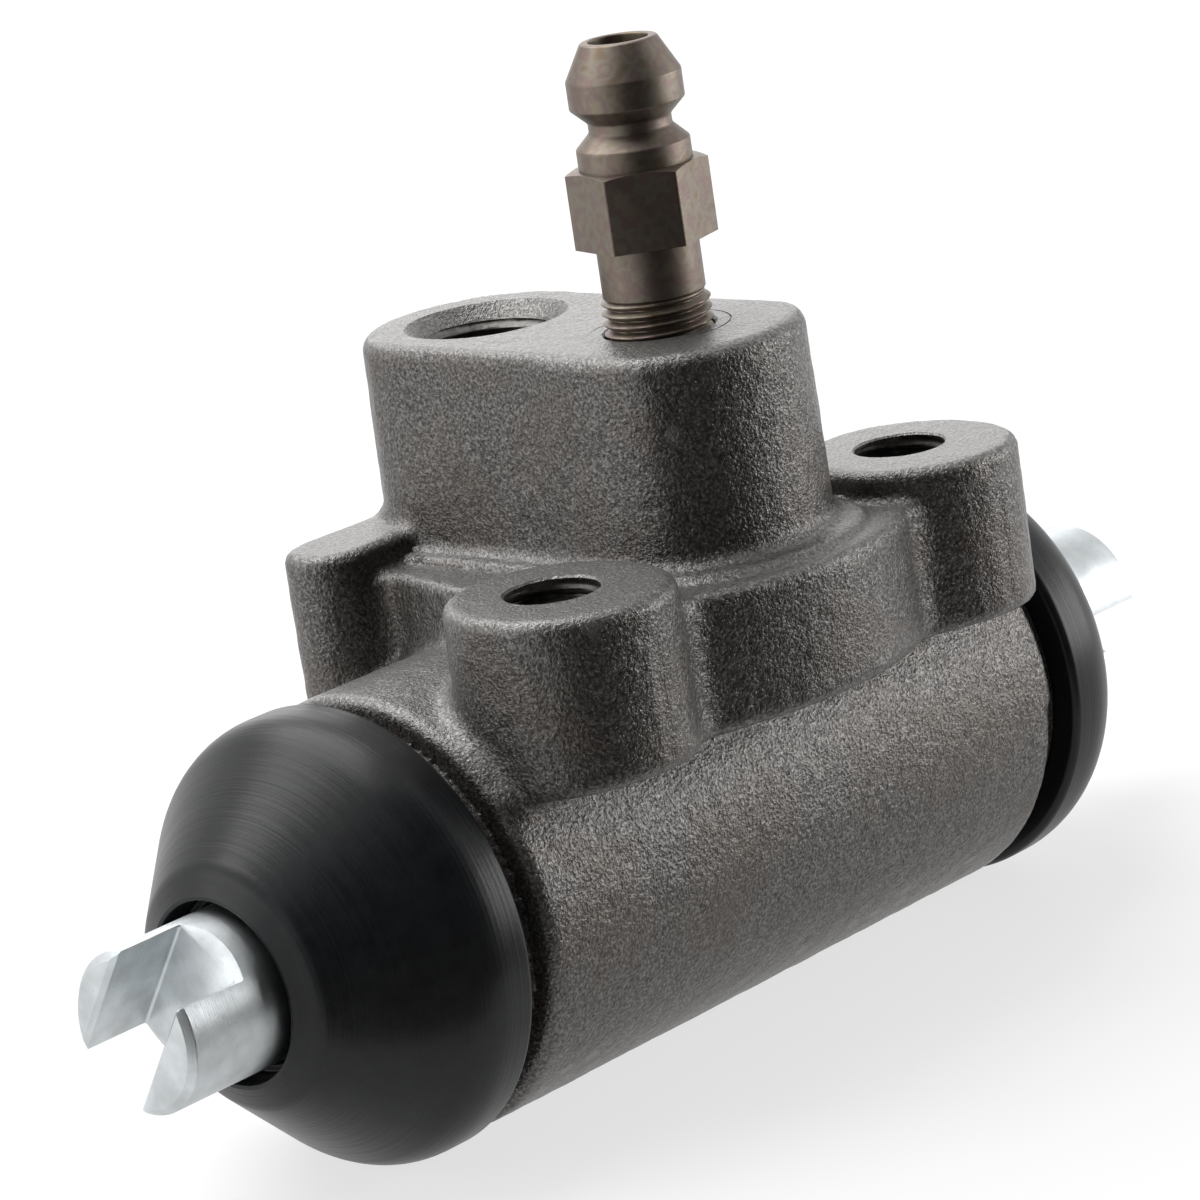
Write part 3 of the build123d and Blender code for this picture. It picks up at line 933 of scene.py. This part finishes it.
def zinc_plate():
    """Bright zinc over turned steel: cloudy, with fine rings round the bore axis and dull spots."""
    material, nodes, links, shader, place = new_material("zinc_plate")
    lines = noise_node(nodes, links, stretched(nodes, links, place, 9.0, 1.0, 1.0), 0.9, 3.0, 0.65)
    cloud = noise_node(nodes, links, place, 2.6, 3.0)
    spots = noise_node(nodes, links, place, 0.25, 1.0)
    colour = ramp_node(nodes, links, cloud, (0.3, (0.47, 0.495, 0.505)), (0.7, (0.65, 0.685, 0.7)))
    dull = range_node(nodes, links, spots, 0.0, 0.6, 0.66, 0.8)
    colour = mix_node(nodes, links, dull, colour, (0.4, 0.4, 0.37))
    links.new(colour, shader.inputs["Base Color"])
    shader.inputs["Metallic"].default_value = 1.0
    links.new(range_node(nodes, links, lines, 0.3, 0.5), shader.inputs["Roughness"])
    links.new(bump_node(nodes, links, lines, 0.016), shader.inputs["Normal"])
    return material


def boot_rubber():
    """Satin black rubber with the mould's fine turning lines and a little dust."""
    material, nodes, links, shader, place = new_material("boot_rubber")
    lines = noise_node(nodes, links, stretched(nodes, links, place, 14.0, 0.12, 0.12), 3.0, 3.0, 0.6)
    dust = noise_node(nodes, links, place, 1.6, 4.0, 0.65)
    colour = ramp_node(nodes, links, dust, (0.35, (0.006, 0.0066, 0.0078)), (0.8, (0.012, 0.013, 0.0145)))
    links.new(colour, shader.inputs["Base Color"])
    shader.inputs["Specular IOR Level"].default_value = 0.26
    links.new(range_node(nodes, links, lines, 0.24, 0.42), shader.inputs["Roughness"])
    skin = bump_node(nodes, links, noise_node(nodes, links, place, 0.35, 2.0), 0.006)
    links.new(bump_node(nodes, links, lines, 0.025, 1.0, skin), shader.inputs["Normal"])
    return material


def olive_chromate():
    """Dark olive-bronze chromate over steel, in brown and greenish clouds over faint turned rings."""
    material, nodes, links, shader, place = new_material("olive_chromate")
    cloud = noise_node(nodes, links, place, 1.6, 2.0)
    grain = noise_node(nodes, links, place, 0.3, 2.0)
    colour = ramp_node(
        nodes, links, cloud,
        (0.3, (0.15, 0.115, 0.085)),
        (0.45, (0.18, 0.16, 0.13)),
        (0.55, (0.165, 0.122, 0.112)),
        (0.7, (0.19, 0.165, 0.125)),
    )
    links.new(colour, shader.inputs["Base Color"])
    shader.inputs["Metallic"].default_value = 1.0
    links.new(range_node(nodes, links, grain, 0.4, 0.54), shader.inputs["Roughness"])
    rings = noise_node(nodes, links, stretched(nodes, links, place, 1.0, 1.0, 12.0), 1.0, 2.0)
    links.new(bump_node(nodes, links, rings, 0.008), shader.inputs["Normal"])
    return material


def seal_rubber():
    """Matt black rubber of the cups."""
    material, nodes, links, shader, place = new_material("seal_rubber")
    cloud = noise_node(nodes, links, place, 1.2, 3.0)
    colour = ramp_node(nodes, links, cloud, (0.3, (0.014, 0.014, 0.014)), (0.7, (0.028, 0.027, 0.026)))
    links.new(colour, shader.inputs["Base Color"])
    links.new(range_node(nodes, links, cloud, 0.42, 0.62), shader.inputs["Roughness"])
    links.new(bump_node(nodes, links, noise_node(nodes, links, place, 0.3), 0.01), shader.inputs["Normal"])
    return material


def spring_steel():
    """Drawn and pressed steel, grey with slight streaks."""
    material, nodes, links, shader, place = new_material("spring_steel")
    streaks = noise_node(nodes, links, place, 0.8, 4.0, 0.7)
    colour = ramp_node(nodes, links, streaks, (0.3, (0.3, 0.3, 0.305)), (0.7, (0.5, 0.5, 0.51)))
    links.new(colour, shader.inputs["Base Color"])
    shader.inputs["Metallic"].default_value = 1.0
    links.new(range_node(nodes, links, streaks, 0.22, 0.42), shader.inputs["Roughness"])
    links.new(bump_node(nodes, links, streaks, 0.008), shader.inputs["Normal"])
    return material


def dress_cad_nodes():
    """Materials for the inner pieces that stay as they are."""
    rubber, steel = seal_rubber(), spring_steel()
    for node, material in (
        ("piston_cup_left", rubber),
        ("piston_cup_right", rubber),
        ("cup_expander_left", steel),
        ("cup_expander_right", steel),
    ):
        paint(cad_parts[node], material)


# Camera, in the part's frame
camera_place = Vector((-247.947, -233.882, 85.997))
camera_azimuth = 44.945  # from +Y towards +X
camera_elevation = -14.925
camera_lean = 8.554  # the up direction leans to the camera's right
camera_lens, camera_sensor = 146.985, 36.0


def add_camera():
    data = bpy.data.cameras.new("camera")
    data.lens = camera_lens
    data.sensor_width = camera_sensor
    data.clip_start = 0.01
    data.clip_end = 20
    camera = add_object("camera", data)
    azimuth, elevation = radians(camera_azimuth), radians(camera_elevation)
    forward = Vector((sin(azimuth) * cos(elevation), cos(azimuth) * cos(elevation), sin(elevation)))
    level = forward.to_track_quat("-Z", "Y").to_matrix().to_4x4()
    lean = Matrix.Rotation(radians(-camera_lean), 4, "Z")
    camera.matrix_world = Matrix.Translation(camera_place * MM) @ level @ lean
    bpy.context.scene.camera = camera


def add_softbox(name, place, size, power):
    """An area lamp in millimetres that faces the part."""
    data = bpy.data.lights.new(name, "AREA")
    data.shape = "RECTANGLE"
    data.size, data.size_y = size[0] * MM, size[1] * MM
    data.energy = power
    lamp = add_object(name, data)
    target = Vector((0, bore_y, bore_z / 2))
    lamp.location = Vector(place) * MM
    lamp.rotation_euler = (target - Vector(place)).to_track_quat("-Z", "Y").to_euler()


def plain_material(name, colour):
    """A dull material of one colour."""
    material, nodes, links, shader, place = new_material(name)
    shader.inputs["Base Color"].default_value = (*colour, 1)
    shader.inputs["Roughness"].default_value = 0.9
    return material, nodes, links, shader, place


def seen_directly(nodes, links, *rays):
    """Is 1 for the camera's rays and the others named, and 0 for what only lights."""
    path = nodes.new("ShaderNodeLightPath")
    share = path.outputs["Is Camera Ray"]
    for ray in rays:
        share = math_node(nodes, links, "MAXIMUM", share, path.outputs[ray])
    return share


# White floor: its half size, its glow, and the glow's least share and the distances over which it grows
floor_reach = 3000
floor_glow = 1.08
glow_near, glow_start, glow_end = 0.65, 0.15, 0.4


def add_floor():
    a = floor_reach
    corners = [(x, y, floor_level) for x, y in ((-a, -a), (a, -a), (a, a), (-a, a))]
    floor = mesh_piece("floor", corners, [(0, 1, 2, 3)])
    material, nodes, links, shader, place = plain_material("white_sweep", (0.9, 0.9, 0.9))
    shader.inputs["Specular IOR Level"].default_value = 0.1
    glow = nodes.new("ShaderNodeEmission")
    glow.inputs["Strength"].default_value = floor_glow
    away = nodes.new("ShaderNodeVectorMath")
    away.operation = "LENGTH"
    links.new(place, away.inputs[0])
    share = range_node(nodes, links, away.outputs["Value"], glow_near, 1.0, glow_start, glow_end)
    seen = seen_directly(nodes, links, "Is Glossy Ray")
    both = nodes.new("ShaderNodeMixShader")
    links.new(math_node(nodes, links, "MULTIPLY", seen, share), both.inputs[0])
    links.new(shader.outputs["BSDF"], both.inputs[1])
    links.new(glow.outputs["Emission"], both.inputs[2])
    links.new(both.outputs["Shader"], nodes["Material Output"].inputs["Surface"])
    paint(floor, material)


# The dark boards stand and lie between these directions, seen from the part
board_start, board_end, board_steps = 200, 302, 24
board_near, board_far, board_top = 52, 460, 1300
board_lift, sheet_lift = 1, 0.5  # above the floor


def add_board(name, low_edge, high_edge, colour):
    """A dark curved board between two edges of (distance, height), which the camera does not see."""
    start, end = radians(board_start), radians(board_end)
    points = []
    for k in range(board_steps + 1):
        turn = start + (end - start) * k / board_steps
        for distance, height in (low_edge, high_edge):
            points.append((distance * cos(turn), bore_y + distance * sin(turn), height))
    faces = [(2 * k, 2 * k + 2, 2 * k + 3, 2 * k + 1) for k in range(board_steps)]
    board = mesh_piece(name, points, faces)
    paint(board, plain_material(name, colour)[0])
    board.visible_camera = False
    board.visible_shadow = False
    return board


def add_boards():
    """One board stands round the camera and to its right, one lies before the part for reflections alone."""
    foot, top = (board_far, floor_level + board_lift), (board_far, board_top)
    add_board("dark_board", foot, top, (0.012, 0.011, 0.01))
    near, far = (board_near, floor_level + sheet_lift), (board_far, floor_level + sheet_lift)
    sheet = add_board("front_board", near, far, (0.05, 0.047, 0.044))
    sheet.visible_diffuse = False


# White world: its strength as light; the camera and reflections see it at 1
world_light = 0.42


def add_world():
    world = bpy.data.worlds.new("studio")
    bpy.context.scene.world = world
    world.use_nodes = True
    nodes, links = world.node_tree.nodes, world.node_tree.links
    background = nodes["Background"]
    background.inputs["Color"].default_value = (1, 1, 1, 1)
    seen = seen_directly(nodes, links, "Is Glossy Ray", "Is Transmission Ray")
    links.new(range_node(nodes, links, seen, world_light, 1.0), background.inputs["Strength"])


add_camera()
add_floor()
add_world()
add_softbox("top_softbox", (-60, 200, 420), (420, 420), 2.3)
add_softbox("left_softbox", (-420, 300, 120), (300, 300), 0.5)
add_softbox("right_softbox", (340, -260, 20), (280, 220), 1.0)
add_softbox("back_softbox", (300, 330, 150), (300, 300), 0.3)
add_boards()

build_casting()
for side in (-1, 1):
    build_piston(side)
    build_boot(side)
    build_spring_half(side)
build_bleeder()
dress_cad_nodes()

scene = bpy.context.scene
scene.view_settings.view_transform = "Standard"
